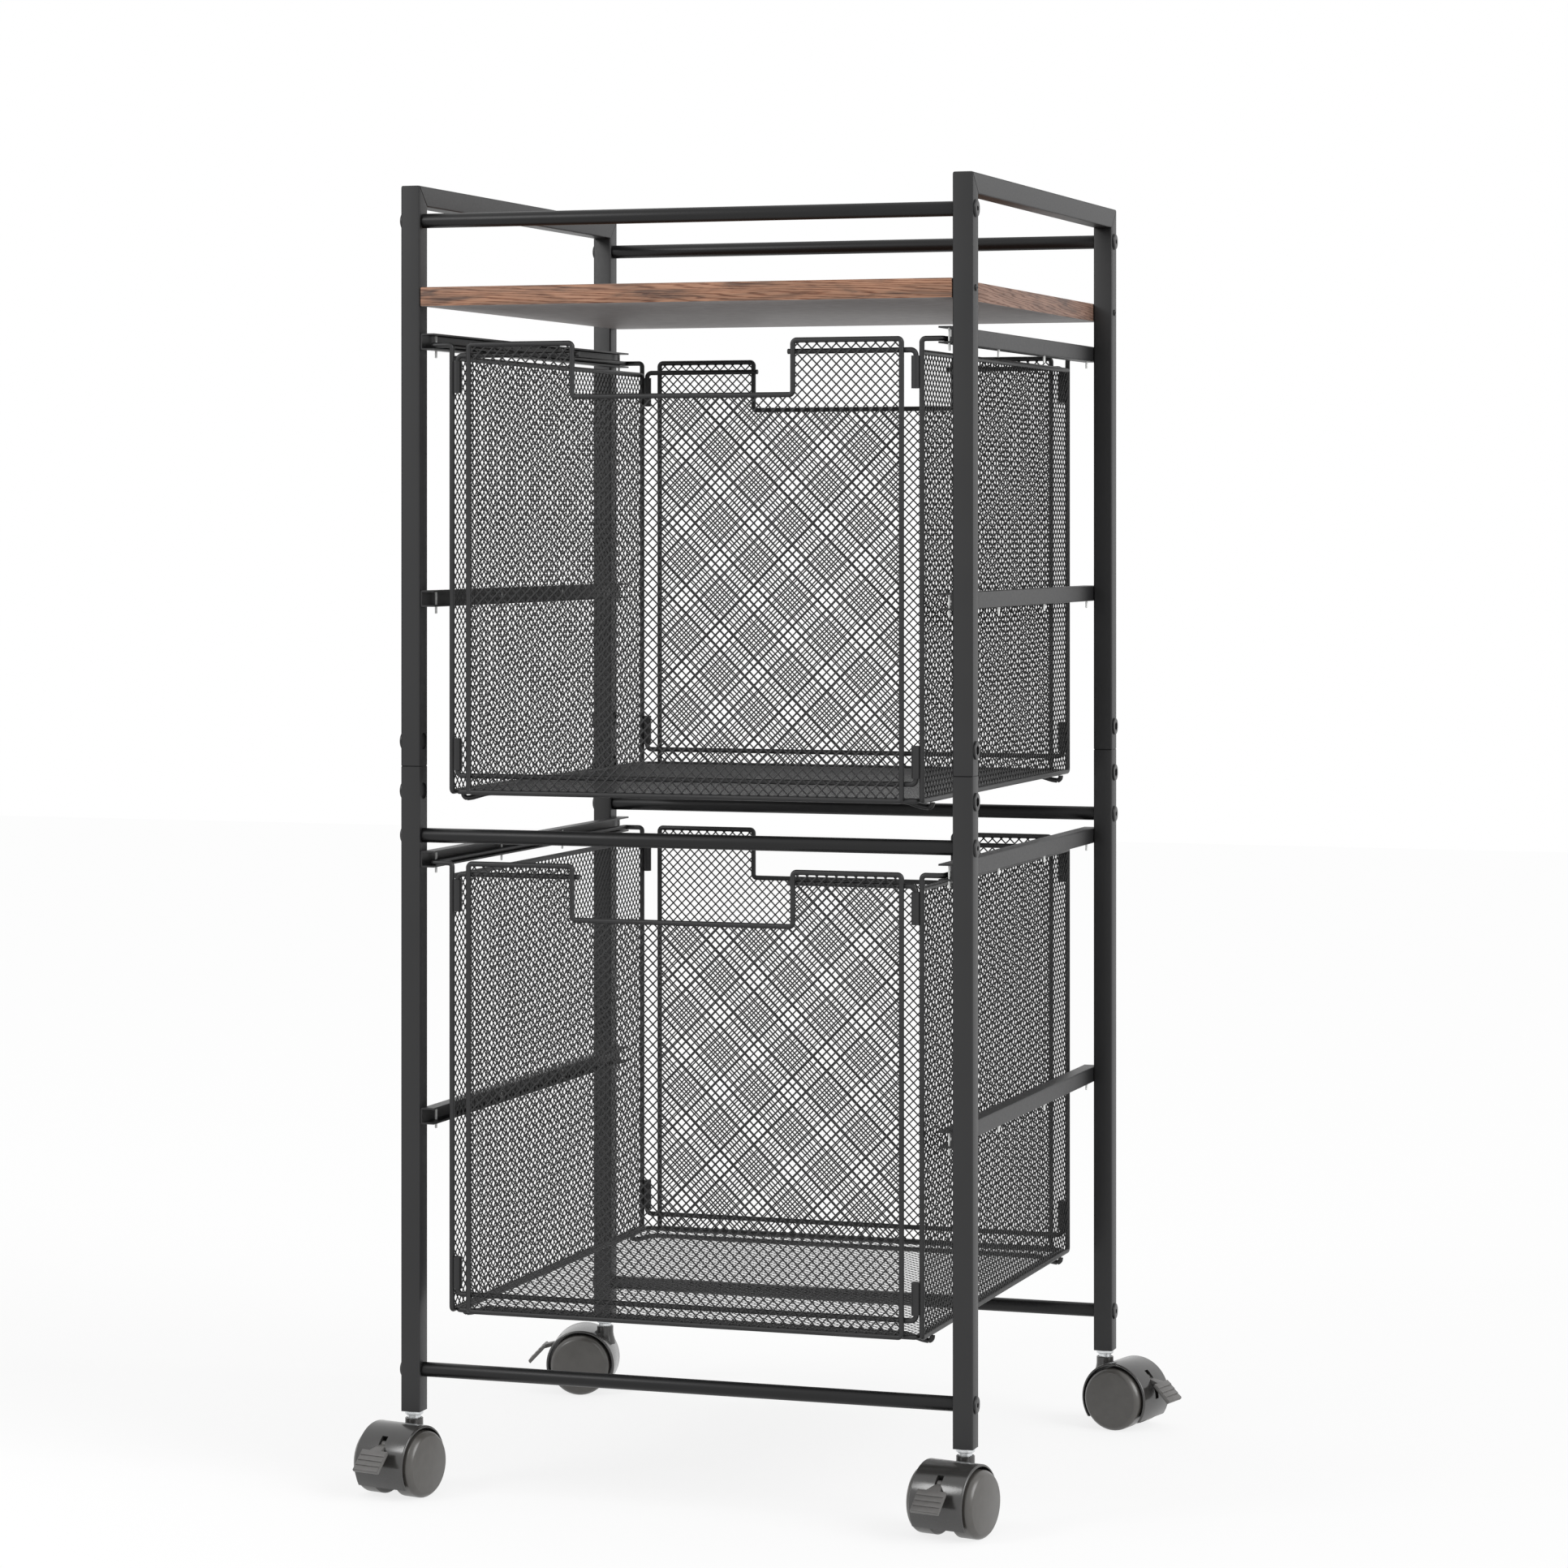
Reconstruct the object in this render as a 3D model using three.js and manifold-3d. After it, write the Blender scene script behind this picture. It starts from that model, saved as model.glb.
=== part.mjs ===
// Mobile file cart: a square-tube frame on four twin-wheel casters, with a wooden top board and two
// knock-down wire mesh drawers that hang in C-channel rails. Millimetres, +Z up, +Y to the back.
// The origin is on the floor, under the middle of the four posts.
import * as THREE from "three";
import { mergeGeometries, mergeVertices } from "three/addons/utils/BufferGeometryUtils.js";
import Module from "manifold-3d";

const wasm = await Module();
wasm.setup();

// Frame
const postPitchX = 394; // left to right, between post centres
const postPitchY = 369; // front to back, between post centres
const tubeSide = 14;
const tubeWall = 1.2;
const tubeChamfer = 0.8;
const jointLength = 64; // square connector inside the seam of each post
const jointWall = 1.6;
const plugLength = 18; // square nut that closes each post at its foot
const slipGap = 0.3; // between pieces that push into or sit against one another

// Cross rods, bolted between the posts
const rodDiameter = 10;
const topRodDrop = 24; // below the top of the frame
const middleRodDrop = 47.5; // below the seam of the posts
const middleRodGap = 5.4; // above the rails of the lower drawer
const lowRodRise = 28.5; // above the feet of the posts

// Top board
const boardThickness = 13.2;
const boardDrop = 69.7; // top of the frame to the top of the board
const boardBevel = 0.8;

// Drawer rails
const railHeight = 11.3;
const railDepth = 10;
const railSheet = 1.2;
const railInset = 1.4; // rail ends, back from the faces of the posts
const railDrop = 18.5; // underside of the board to the top of the first rails
const spareRailDrop = 176; // from the rails that carry a drawer to the spare ones under them
const pinDiameter = 2.2;
const pinCount = 4;
const pinFirst = 4; // from one end of a rail to its nearest guide pin
const pinLast = 19; // from the other end
const pinDrop = 5; // below the rail

// Drawers
const upperDrawerLift = 25.5; // middle rods to the bottom of the upper drawer
const lowerDrawerLift = 37.5; // low rods to the bottom of the lower drawer
const wireDiameter = 3.6;
const bendRadius = 2.6;
const panelHeight = 305.6; // wire centre to wire centre
const panelInset = 13.3; // from the sides' upright wires in to those of the front panel
const handleWidth = 157.6;
const handleDepth = 36.3;
const runnerInset = 0.5; // from the rail's lip to the runner
const runnerReach = 14.5; // from the mesh of a side panel out to its runner
const sideMeshDrop = 9; // runner to the wire along the top of the mesh
const upperHookDrop = 7.4;
const lowerHookRise = 11;
const hookBend = 3.5;
const sleeveLength = 21.7; // tubes on the sides that take the hooks of the front and the back
const sleeveWall = 1.1;
const hookOverrun = 4.3; // of the upper hook wires, past the sides of the notch
const bottomHookInset = 22.1; // from the sides' upright wires to the bottom's hooks
const bottomHookSlope = 13.2; // length over which the cross wires dip
const bottomHookDrop = 5.6; // of the hooks, below the side wires
const bottomHookReach = 0.7; // of their tips, out past the middle of the side wires
const bottomHookWidth = 5;
const strandWidth = 1.8;
const strandDepth = 0.8;
const strandGap = 0.2; // between the two layers of the mesh
const strandMinimum = 9; // shorter ones, beside a corner, are left out
const meshPitch = 53; // across the diamonds
const weld = 0.9; // depth to which welded wires sink into each other

// Casters
const trail = 17; // stem axis to wheel axle
const wheelRadius = 22.5;
const wheelFaceDrop = 2.7; // from the tread in to the rim of the outer face
const wheelInner = 8; // from the middle of the caster to the wheels' inner faces
const wheelRim = 20.8;
const wheelOuter = 24.6;
const wheelEdge = 1.4;
const wheelSides = 18;
const axleRadius = 3;
const axleReach = 19.2;
const runningGap = 0.4;
const wheelGap = 1.3; // tread to hood
const hoodHalfWidth = 19.6;
const hoodWall = 2.2;
const hoodBottom = 8;
const hoodBevel = 1.2;
const neckRadius = 5.9;
const neckRise = 17.5; // axle to where the neck leaves the hood
const neckHeight = 9.6;
const stemRadius = 4;
const stemDepth = 22.6; // in the neck
const collarRadius = 6.3;
const collarHeight = 3.2;
const collarGap = 1.7; // above the neck
const brakeSlotWidth = 5.2;
const brakeSlotDepth = 13;
const brakeSlotLow = 0; // degrees above the axle, on the brake's side
const brakeSlotHigh = 50;
const brakePivotOut = 17; // from the axle
const brakePivotUp = 14;
const brakePinRadius = 1.1;
const brakeHubRadius = 2.8;
const brakeArmThickness = 3;
const pedalOut = 29.5; // upper edge of the pedal, from the axle
const pedalUp = 10.8;
const pedalSlope = 46.5; // degrees below level
const pedalLength = 17.2;
const pedalWidth = 21.2;
const pedalThickness = 2.2;
const ridgeCount = 4;
const ridgeHeight = 0.7;
const ridgeSlope = 3; // length of each ridge's rising side

// Facets
const wireSides = 6;
const pinSides = 4;
const brakeSides = 5;
const bendSteps = 2; // facets along a right-angled bend
const roundSides = 12;
const arcSteps = 9;

const postX = postPitchX / 2;
const postY = postPitchY / 2;
const innerX = postX - tubeSide / 2;
const frameDepth = postPitchY + tubeSide;
const boreSide = tubeSide - 2 * tubeWall;
const railLength = frameDepth - 2 * railInset;

// Heights, from the floor up
const hoodRadius = wheelRadius + wheelGap + hoodWall;
const neckBase = wheelRadius + neckRise;
const neckTop = neckBase + neckHeight;
const stemFoot = neckTop - stemDepth;
const collarZ = neckTop + collarGap;
const footHeight = collarZ + collarHeight; // lower ends of the posts
const rodRadius = rodDiameter / 2;
const runnerRise = railSheet + slipGap + wireDiameter / 2; // of a drawer's runner in its rail
const lowRodZ = footHeight + lowRodRise;
const lowerDrawerZ = lowRodZ + rodRadius + lowerDrawerLift;
const lowerRailZ = lowerDrawerZ + panelHeight - runnerRise;
const middleRodZ = lowerRailZ + railHeight + middleRodGap + rodRadius;
const seamZ = middleRodZ + middleRodDrop;
const upperDrawerZ = middleRodZ + rodRadius + upperDrawerLift;
const upperRailZ = upperDrawerZ + panelHeight - runnerRise;
const boardZ = upperRailZ + railHeight + railDrop;
const topZ = boardZ + boardThickness + boardDrop;
const topRodZ = topZ - topRodDrop;

// Drawer widths and depths, from the rails in
const runnerX = innerX - railDepth + runnerInset + wireDiameter / 2;
const sideX = runnerX - runnerReach;
const panelY = (frameDepth - wireDiameter) / 2;
const sideY = panelY - wireDiameter + weld; // in line with the hooks of the front panel
const bottomX = sideX - wireDiameter - slipGap;
const bottomY = panelY - wireDiameter - slipGap;
const sleeveRadius = wireDiameter / 2 + slipGap + sleeveWall;
const sleeveX = sideX - wireDiameter / 2 - sleeveRadius + weld;
const upperHookZ = panelHeight - upperHookDrop;

const wheelFaceRadius = wheelRadius - wheelFaceDrop;
const webHalf = wheelInner - runningGap; // of the caster's middle wall

const finishes = {
  steel: { color: 0x2e2e2f, roughness: 0.55, metalness: 0.3 },
  wood: { color: 0x8a5a3b, roughness: 0.6, metalness: 0 },
  zinc: { color: 0xd4d5d6, roughness: 0.3, metalness: 0.9 },
  nylon: { color: 0x17181a, roughness: 0.6, metalness: 0 },
  hood: { color: 0x4a4a4a, roughness: 0.35, metalness: 0 },
  wheel: { color: 0x5b5854, roughness: 0.5, metalness: 0 },
};

const drawers = [
  { name: "upper", z: upperDrawerZ, railZ: upperRailZ },
  { name: "lower", z: lowerDrawerZ, railZ: lowerRailZ },
];

const posts = [
  { name: "front_left", x: -postX, y: -postY, heading: -11.9 },
  { name: "front_right", x: postX, y: -postY, heading: -11.9 },
  { name: "rear_left", x: -postX, y: postY, heading: -76 },
  { name: "rear_right", x: postX, y: postY, heading: 76.7 },
];

// A closed geometry as a solid that can be joined and cut.
function toSolid(geometry) {
  const bare = geometry.clone();
  bare.deleteAttribute("normal");
  bare.deleteAttribute("uv");
  const merged = mergeVertices(bare);
  const triVerts = Uint32Array.from(merged.index.array);
  const vertProperties = merged.attributes.position.array;
  return new wasm.Manifold(new wasm.Mesh({ numProp: 3, vertProperties, triVerts }));
}

function toGeometry(solid) {
  const { vertProperties, triVerts } = solid.getMesh();
  const geometry = new THREE.BufferGeometry();
  geometry.setAttribute("position", new THREE.BufferAttribute(vertProperties, 3));
  geometry.setIndex(new THREE.BufferAttribute(triVerts, 1));
  geometry.computeVertexNormals();
  return geometry;
}

function joined(geometries) {
  return geometries.map(toSolid).reduce((whole, solid) => whole.add(solid));
}

function piece(name, finish, geometry) {
  const material = new THREE.MeshStandardMaterial({ ...finishes[finish], flatShading: true });
  const mesh = new THREE.Mesh(geometry, material);
  mesh.name = name;
  return mesh;
}

function polygon(points) {
  return new THREE.Shape(points.map(([x, y]) => new THREE.Vector2(x, y)));
}

function square(side, chamfer) {
  const half = side / 2;
  const flat = half - chamfer;
  const corner = [[half, -flat], [half, flat], [flat, half], [-flat, half]];
  return polygon(chamfer ? [...corner, ...corner.map(([x, y]) => [-x, -y])] : [
    [-half, -half], [half, -half], [half, half], [-half, half],
  ]);
}

function slab(shape, depth) {
  return new THREE.ExtrudeGeometry(shape, { depth, bevelEnabled: false, curveSegments: arcSteps });
}

// An extrusion whose long edges are bevelled inwards, so that it keeps the outline's size.
function bevelledSlab(shape, depth, bevel) {
  return new THREE.ExtrudeGeometry(shape, {
    depth: depth - 2 * bevel,
    bevelThickness: bevel,
    bevelSize: bevel,
    bevelOffset: -bevel,
    bevelSegments: 1,
    curveSegments: arcSteps,
  }).translate(0, 0, bevel);
}

// Turns a drawing (across, up) with its thickness into the YZ plane, thickness along X.
function intoSideView(geometry) {
  const turn = new THREE.Matrix4().set(0, 0, 1, 0, 1, 0, 0, 0, 0, 1, 0, 0, 0, 0, 0, 1);
  return geometry.applyMatrix4(turn);
}

// Turns a drawing (across, up) with its thickness into the XZ plane, thickness towards the front.
function intoFrontView(geometry) {
  return geometry.rotateX(Math.PI / 2);
}

// A wire's centre line through its corners, with each corner bent to a radius.
class WireRoute extends THREE.Curve {
  constructor(corners, radius) {
    super();
    this.stations = [];
    corners.forEach((corner, i) => {
      const before = corners[i - 1] ?? corner;
      const after = corners[i + 1] ?? corner;
      const arriving = corner.clone().sub(before).normalize();
      const leaving = after.clone().sub(corner).normalize();
      if (i === 0 || i === corners.length - 1) {
        this.stations.push({ point: corner, tangent: i === 0 ? leaving : arriving });
        return;
      }
      const turn = arriving.angleTo(leaving);
      const axis = arriving.clone().cross(leaving).normalize();
      const setback = radius * Math.tan(turn / 2);
      const start = corner.clone().addScaledVector(arriving, -setback);
      const spoke = axis.clone().cross(arriving).multiplyScalar(radius);
      const middle = start.clone().add(spoke);
      const steps = Math.max(1, Math.round((bendSteps * turn) / (Math.PI / 2)));
      for (let step = 0; step <= steps; step++) {
        const angle = (turn * step) / steps;
        const point = middle.clone().sub(spoke.clone().applyAxisAngle(axis, angle));
        this.stations.push({ point, tangent: arriving.clone().applyAxisAngle(axis, angle) });
      }
    });
  }

  getSpacedPoints() {
    return this.stations.map((station) => station.point);
  }

  getTangentAt(u, target = new THREE.Vector3()) {
    return target.copy(this.stations[Math.round(u * (this.stations.length - 1))].tangent);
  }
}

// A wire's section, with a flat towards +X or, turned by half a facet, a corner.
function wireSection(radius, turn) {
  return polygon(Array.from({ length: wireSides }, (_, i) => {
    const angle = (2 * Math.PI * (i + turn)) / wireSides;
    return [radius * Math.cos(angle), radius * Math.sin(angle)];
  }));
}

function wire(corners, radius = bendRadius, turn = 1 / 2) {
  const route = new WireRoute(corners.map((corner) => new THREE.Vector3(...corner)), radius);
  return new THREE.ExtrudeGeometry(wireSection(wireDiameter / 2, turn), {
    steps: route.stations.length - 1,
    extrudePath: route,
    bevelEnabled: false,
  });
}

// A closed wire loop: two bent wires that lap at the middle of two opposite edges.
function wireLoop(corners, turn) {
  const count = corners.length;
  const half = count / 2;
  const middle = (i, towards) => {
    const from = new THREE.Vector3(...corners[(i + count - 1) % count]);
    const to = new THREE.Vector3(...corners[i % count]);
    const along = to.clone().sub(from).normalize();
    return from.add(to).divideScalar(2).addScaledVector(along, (towards * wireDiameter) / 4).toArray();
  };
  const run = (first) => [
    middle(first, -1),
    ...corners.slice(first, first + half),
    middle(first + half, 1),
  ];
  return [wire(run(0), bendRadius, turn), wire(run(half), bendRadius, turn)];
}

// Diamond mesh inside an outline (across, up): two layers of straight strands that lean to either
// side, with their ends in the wire along the outline.
function meshStrands(corners, view) {
  const section = polygon([[-strandWidth / 2, 0], [strandWidth / 2, 0], [0, strandDepth]]);
  const points = corners.map(([x, y]) => new THREE.Vector2(x, y));
  const middle = new THREE.Box2().setFromPoints(points).getCenter(new THREE.Vector2());
  const pitch = meshPitch * Math.SQRT1_2;
  const strands = [-1, 1].flatMap((layer) => {
    const along = new THREE.Vector3(layer, 1, 0).normalize();
    const out = new THREE.Vector3(0, 0, layer);
    const across = out.clone().cross(along);
    const turn = new THREE.Matrix4().makeBasis(across, out, along);
    const places = points.map((point) => {
      const place = new THREE.Vector3(point.x - middle.x, point.y - middle.y, 0);
      return { along: place.dot(along), across: place.dot(across) };
    });
    const reach = Math.max(...places.map((place) => place.across));
    const layout = [];
    const first = pitch / 2 - pitch * Math.floor(reach / pitch + 1 / 2);
    for (let offset = first; offset < reach; offset += pitch) {
      const ends = places.flatMap((from, i) => {
        const to = places[(i + 1) % places.length];
        const share = (offset - from.across) / (to.across - from.across);
        return share >= 0 && share < 1 ? [from.along + share * (to.along - from.along)] : [];
      }).sort((a, b) => a - b);
      for (let i = 0; i < ends.length; i += 2) {
        const length = ends[i + 1] - ends[i];
        if (length < strandMinimum) continue;
        const strand = slab(section, length).translate(offset, strandGap / 2, ends[i]);
        layout.push(strand.applyMatrix4(turn).translate(middle.x, middle.y, 0));
      }
    }
    return layout;
  });
  return toSolid(view(mergeGeometries(strands)));
}

function sideFrame() {
  const half = frameDepth / 2;
  const arch = (skin, foot) => {
    const outer = half - skin;
    const inner = half - tubeSide + skin;
    const crown = topZ - skin;
    const soffit = topZ - tubeSide + skin;
    return polygon([
      [-outer, foot], [-inner, foot], [-inner, soffit], [inner, soffit],
      [inner, foot], [outer, foot], [outer, crown], [-outer, crown],
    ]);
  };
  const outside = bevelledSlab(arch(0, seamZ), tubeSide, tubeChamfer).translate(0, 0, -tubeSide / 2);
  const hollow = slab(arch(tubeWall, seamZ - tubeSide), boreSide).translate(0, 0, -boreSide / 2);
  return toGeometry(toSolid(intoSideView(outside)).subtract(toSolid(intoSideView(hollow))));
}

function squareTube(side, wall, chamfer, length) {
  const section = square(side, chamfer);
  section.holes.push(square(side - 2 * wall, 0));
  return slab(section, length);
}

function plug() {
  const section = square(boreSide - 2 * slipGap, 0);
  const bore = new THREE.Path().absarc(0, 0, stemRadius + slipGap, 0, 2 * Math.PI, true);
  section.holes.push(bore);
  return slab(section, plugLength);
}

function crossRod() {
  const length = 2 * innerX;
  return new THREE.CylinderGeometry(rodRadius, rodRadius, length, roundSides).rotateZ(Math.PI / 2);
}

function board() {
  const length = 2 * (innerX - slipGap);
  const half = length / 2;
  const end = polygon([
    [-half, 0], [half, 0], [half, boardThickness], [-half, boardThickness],
  ]);
  return intoFrontView(bevelledSlab(end, frameDepth, boardBevel)).translate(0, frameDepth / 2, 0);
}

// A C-channel with its web at x = 0, open towards +X, and guide pins through both flanges.
function rail() {
  const channel = polygon([
    [0, 0], [railDepth, 0], [railDepth, railSheet], [railSheet, railSheet],
    [railSheet, railHeight - railSheet], [railDepth, railHeight - railSheet],
    [railDepth, railHeight], [0, railHeight],
  ]);
  const body = intoFrontView(slab(channel, railLength)).translate(0, railLength / 2, 0);
  const runnerOuter = railDepth - runnerInset - wireDiameter;
  const pinX = (runnerOuter + railSheet) / 2;
  const pinLength = railHeight + pinDrop;
  const pinPitch = (railLength - pinFirst - pinLast) / (pinCount - 1);
  const pins = Array.from({ length: pinCount }, (_, i) =>
    new THREE.CylinderGeometry(pinDiameter / 2, pinDiameter / 2, pinLength, pinSides)
      .rotateX(Math.PI / 2)
      .translate(pinX, railLength / 2 - pinFirst - i * pinPitch, pinLength / 2 - pinDrop),
  );
  return toGeometry(joined([body, ...pins]));
}

// Front or back panel of a drawer: a wire outline with a hand notch, mesh, and hook wires behind it
// whose ends push into the sleeves of the sides.
function handlePanel() {
  const half = sideX - panelInset;
  const notch = handleWidth / 2;
  const sill = panelHeight - handleDepth;
  const outline = [
    [-half, 0], [-half, panelHeight], [-notch, panelHeight], [-notch, sill],
    [notch, sill], [notch, panelHeight], [half, panelHeight], [half, 0],
  ];
  const reach = hookBend + sleeveLength;
  const hooks = [-1, 1].map((side) => wire([
    [side * (notch - hookOverrun), -sideY, upperHookZ],
    [side * sleeveX, -sideY, upperHookZ],
    [side * sleeveX, -sideY, upperHookZ - reach],
  ], hookBend));
  hooks.push(wire([
    [-sleeveX, -sideY, lowerHookRise + reach], [-sleeveX, -sideY, lowerHookRise],
    [sleeveX, -sideY, lowerHookRise], [sleeveX, -sideY, lowerHookRise + reach],
  ], hookBend));
  const loop = wireLoop(outline.map(([x, z]) => [x, -panelY, z]));
  const mesh = meshStrands(outline, (geometry) => intoFrontView(geometry).translate(0, -panelY, 0));
  return toGeometry(joined([...loop, ...hooks]).add(mesh));
}

// Left side of a drawer: its wire runs up past the mesh and out along the rail as the runner. Four
// sleeves on the upright wires take the hooks.
function sidePanel() {
  const loop = wireLoop([
    [-sideX, -sideY, 0], [-sideX, -sideY, panelHeight], [-runnerX, -sideY, panelHeight],
    [-runnerX, sideY, panelHeight], [-sideX, sideY, panelHeight], [-sideX, sideY, 0],
  ]);
  const meshTop = panelHeight - sideMeshDrop;
  const topWire = wire([[-sideX, -sideY, meshTop], [-sideX, sideY, meshTop]]);
  const section = wireSection(sleeveRadius, 1 / 2);
  section.holes.push(wireSection(sleeveRadius - sleeveWall, 1 / 2));
  const clear = hookBend + slipGap;
  const feet = [lowerHookRise + clear, upperHookZ - clear - sleeveLength];
  const sleeves = feet.flatMap((z) => [-sideY, sideY].map((y) =>
    slab(section, sleeveLength).translate(-sleeveX, y, z)));
  const outline = [[-sideY, 0], [sideY, 0], [sideY, meshTop], [-sideY, meshTop]];
  const mesh = meshStrands(outline, (geometry) => intoSideView(geometry).translate(-sideX, 0, 0));
  return toGeometry(joined([...loop, topWire, ...sleeves]).add(mesh));
}

// Bottom of a drawer: a mesh on two cross wires, whose ends curl up under the sides' bottom wires.
function bottomPanel() {
  const loop = wireLoop([
    [-bottomX, -bottomY, 0], [bottomX, -bottomY, 0], [bottomX, bottomY, 0], [-bottomX, bottomY, 0],
  ], 0);
  const level = weld - wireDiameter / 2 - strandDepth;
  const tipX = sideX + bottomHookReach;
  const tipZ = -(wireDiameter / 2 + slipGap);
  const dip = tipX - bottomHookWidth;
  const crossWires = [-1, 1].map((end) => {
    const y = end * (sideY - bottomHookInset);
    const half = (side) => [
      [side * (dip - bottomHookSlope), y, level],
      [side * dip, y, -bottomHookDrop],
      [side * tipX, y, -bottomHookDrop],
      [side * tipX, y, tipZ],
    ];
    return wire([...half(-1).reverse(), ...half(1)], bendRadius);
  });
  const outline = [[-bottomX, -bottomY], [bottomX, -bottomY], [bottomX, bottomY], [-bottomX, bottomY]];
  const mesh = meshStrands(outline, (geometry) => geometry);
  return toGeometry(joined([...loop, ...crossWires]).add(mesh));
}

function aroundAxle(radius, halfLength, sides) {
  return new THREE.CylinderGeometry(radius, radius, 2 * halfLength, sides)
    .rotateZ(Math.PI / 2)
    .translate(0, -trail, wheelRadius);
}

// Stands a solid drawn round the axle (out on the brake's side, up) across the caster's middle.
function intoCaster(geometry, width) {
  const body = intoSideView(geometry.translate(0, 0, -width / 2));
  return body.rotateZ(Math.PI).translate(0, -trail, wheelRadius);
}

function acrossCaster(shape, width) {
  return intoCaster(slab(shape, width), width);
}

function brakeRound(radius, width) {
  const round = new THREE.Shape().absarc(brakePivotOut, brakePivotUp, radius, 0, 2 * Math.PI);
  return new THREE.ExtrudeGeometry(round, { depth: width, bevelEnabled: false, curveSegments: brakeSides });
}

// Barrel hood over both wheels, with the neck for the stem, the axle ends and the brake's pin.
function hood() {
  const dip = Math.asin((wheelRadius - hoodBottom) / hoodRadius);
  const barrel = new THREE.Shape().absarc(0, 0, hoodRadius, -dip, Math.PI + dip);
  const outside = bevelledSlab(barrel, 2 * hoodHalfWidth, hoodBevel);
  const neck = new THREE.LatheGeometry([
    new THREE.Vector2(0, neckBase - wheelRadius),
    new THREE.Vector2(webHalf, neckBase - wheelRadius),
    new THREE.Vector2(webHalf, neckBase),
    new THREE.Vector2(neckRadius, (neckBase + neckTop) / 2),
    new THREE.Vector2(neckRadius, neckTop),
    new THREE.Vector2(0, neckTop),
  ], roundSides).rotateX(Math.PI / 2);
  const bore = new THREE.LatheGeometry([
    new THREE.Vector2(0, stemFoot - runningGap),
    new THREE.Vector2(stemRadius + runningGap, stemFoot - runningGap),
    new THREE.Vector2(stemRadius + runningGap, footHeight),
    new THREE.Vector2(0, footHeight),
  ], roundSides).rotateX(Math.PI / 2);
  const slot = new THREE.Shape();
  const low = THREE.MathUtils.degToRad(brakeSlotLow);
  const high = THREE.MathUtils.degToRad(brakeSlotHigh);
  slot.absarc(0, 0, hoodRadius + hoodWall, low, high);
  slot.absarc(0, 0, brakeSlotDepth, high, low, true);
  const pocketDepth = hoodHalfWidth;
  const pocketRadius = hoodRadius - hoodWall;
  const pockets = [-1, 1].map((side) =>
    aroundAxle(pocketRadius, pocketDepth / 2, wheelSides)
      .translate(side * (webHalf + pocketDepth / 2), 0, 0));
  const shell = toSolid(intoCaster(outside, 2 * hoodHalfWidth))
    .subtract(toSolid(pockets[0]))
    .subtract(toSolid(pockets[1]))
    .add(toSolid(neck))
    .subtract(toSolid(bore))
    .subtract(toSolid(acrossCaster(slot, brakeSlotWidth)))
    .add(toSolid(aroundAxle(axleRadius, axleReach, roundSides)))
    .subtract(toSolid(bore));
  const pinWidth = brakeSlotWidth + 2 * brakePinRadius;
  const pin = intoCaster(brakeRound(brakePinRadius, pinWidth), pinWidth);
  return toGeometry(shell.add(toSolid(pin)));
}

// A wheel on the +X side of its caster, closed outside and bored from within for the axle.
function wheel() {
  const tread = wheelRadius / Math.cos(Math.PI / wheelSides);
  const boreRadius = axleRadius + runningGap;
  const profile = [
    [0, axleReach + runningGap],
    [boreRadius, axleReach + runningGap],
    [boreRadius, wheelInner],
    [tread, wheelInner],
    [tread, wheelRim],
    [wheelFaceRadius + wheelEdge, wheelOuter - wheelEdge],
    [wheelFaceRadius, wheelOuter],
    [0, wheelOuter],
  ].map(([radius, along]) => new THREE.Vector2(radius, along));
  const flatDown = Math.PI / wheelSides;
  return new THREE.LatheGeometry(profile, wheelSides, flatDown).rotateZ(-Math.PI / 2);
}

// Brake: a hub on its pin, an arm out through the hood's slot, and a ridged foot pedal.
function brake() {
  const width = brakeSlotWidth - 2 * runningGap;
  const arm = new THREE.Vector2(pedalOut - brakePivotOut, pedalUp - brakePivotUp);
  const side = arm.clone().rotateAround(new THREE.Vector2(), Math.PI / 2).setLength(brakeArmThickness / 2);
  const armShape = polygon([
    [brakePivotOut - side.x, brakePivotUp - side.y], [pedalOut - side.x, pedalUp - side.y],
    [pedalOut + side.x, pedalUp + side.y], [brakePivotOut + side.x, brakePivotUp + side.y],
  ]);
  const ridgePitch = pedalLength / ridgeCount;
  const ridges = Array.from({ length: ridgeCount }, (_, i) => [
    [pedalLength - i * ridgePitch, pedalThickness],
    [pedalLength - i * ridgePitch - ridgeSlope, pedalThickness + ridgeHeight],
  ]).flat();
  const pedalShape = polygon([[0, 0], [pedalLength, 0], ...ridges, [0, pedalThickness]]);
  const pedal = slab(pedalShape, pedalWidth)
    .translate(-brakeArmThickness / 2, -pedalThickness / 2, 0)
    .rotateZ(-THREE.MathUtils.degToRad(pedalSlope))
    .translate(pedalOut, pedalUp, 0);
  const body = joined([
    intoCaster(brakeRound(brakeHubRadius, width), width),
    acrossCaster(armShape, width),
    intoCaster(pedal, pedalWidth),
  ]);
  const bore = intoCaster(brakeRound(brakePinRadius + slipGap, 2 * width), 2 * width);
  return toGeometry(body.subtract(toSolid(bore)));
}

// Threaded stem with a collar under the post, turned about Z.
function stem() {
  const profile = [
    [0, stemFoot],
    [stemRadius, stemFoot],
    [stemRadius, collarZ],
    [collarRadius, collarZ + collarHeight / 2],
    [collarRadius, footHeight],
    [stemRadius, footHeight],
    [stemRadius, footHeight + plugLength],
    [0, footHeight + plugLength],
  ].map(([radius, height]) => new THREE.Vector2(radius, height));
  return new THREE.LatheGeometry(profile, roundSides).rotateX(Math.PI / 2);
}

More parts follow.
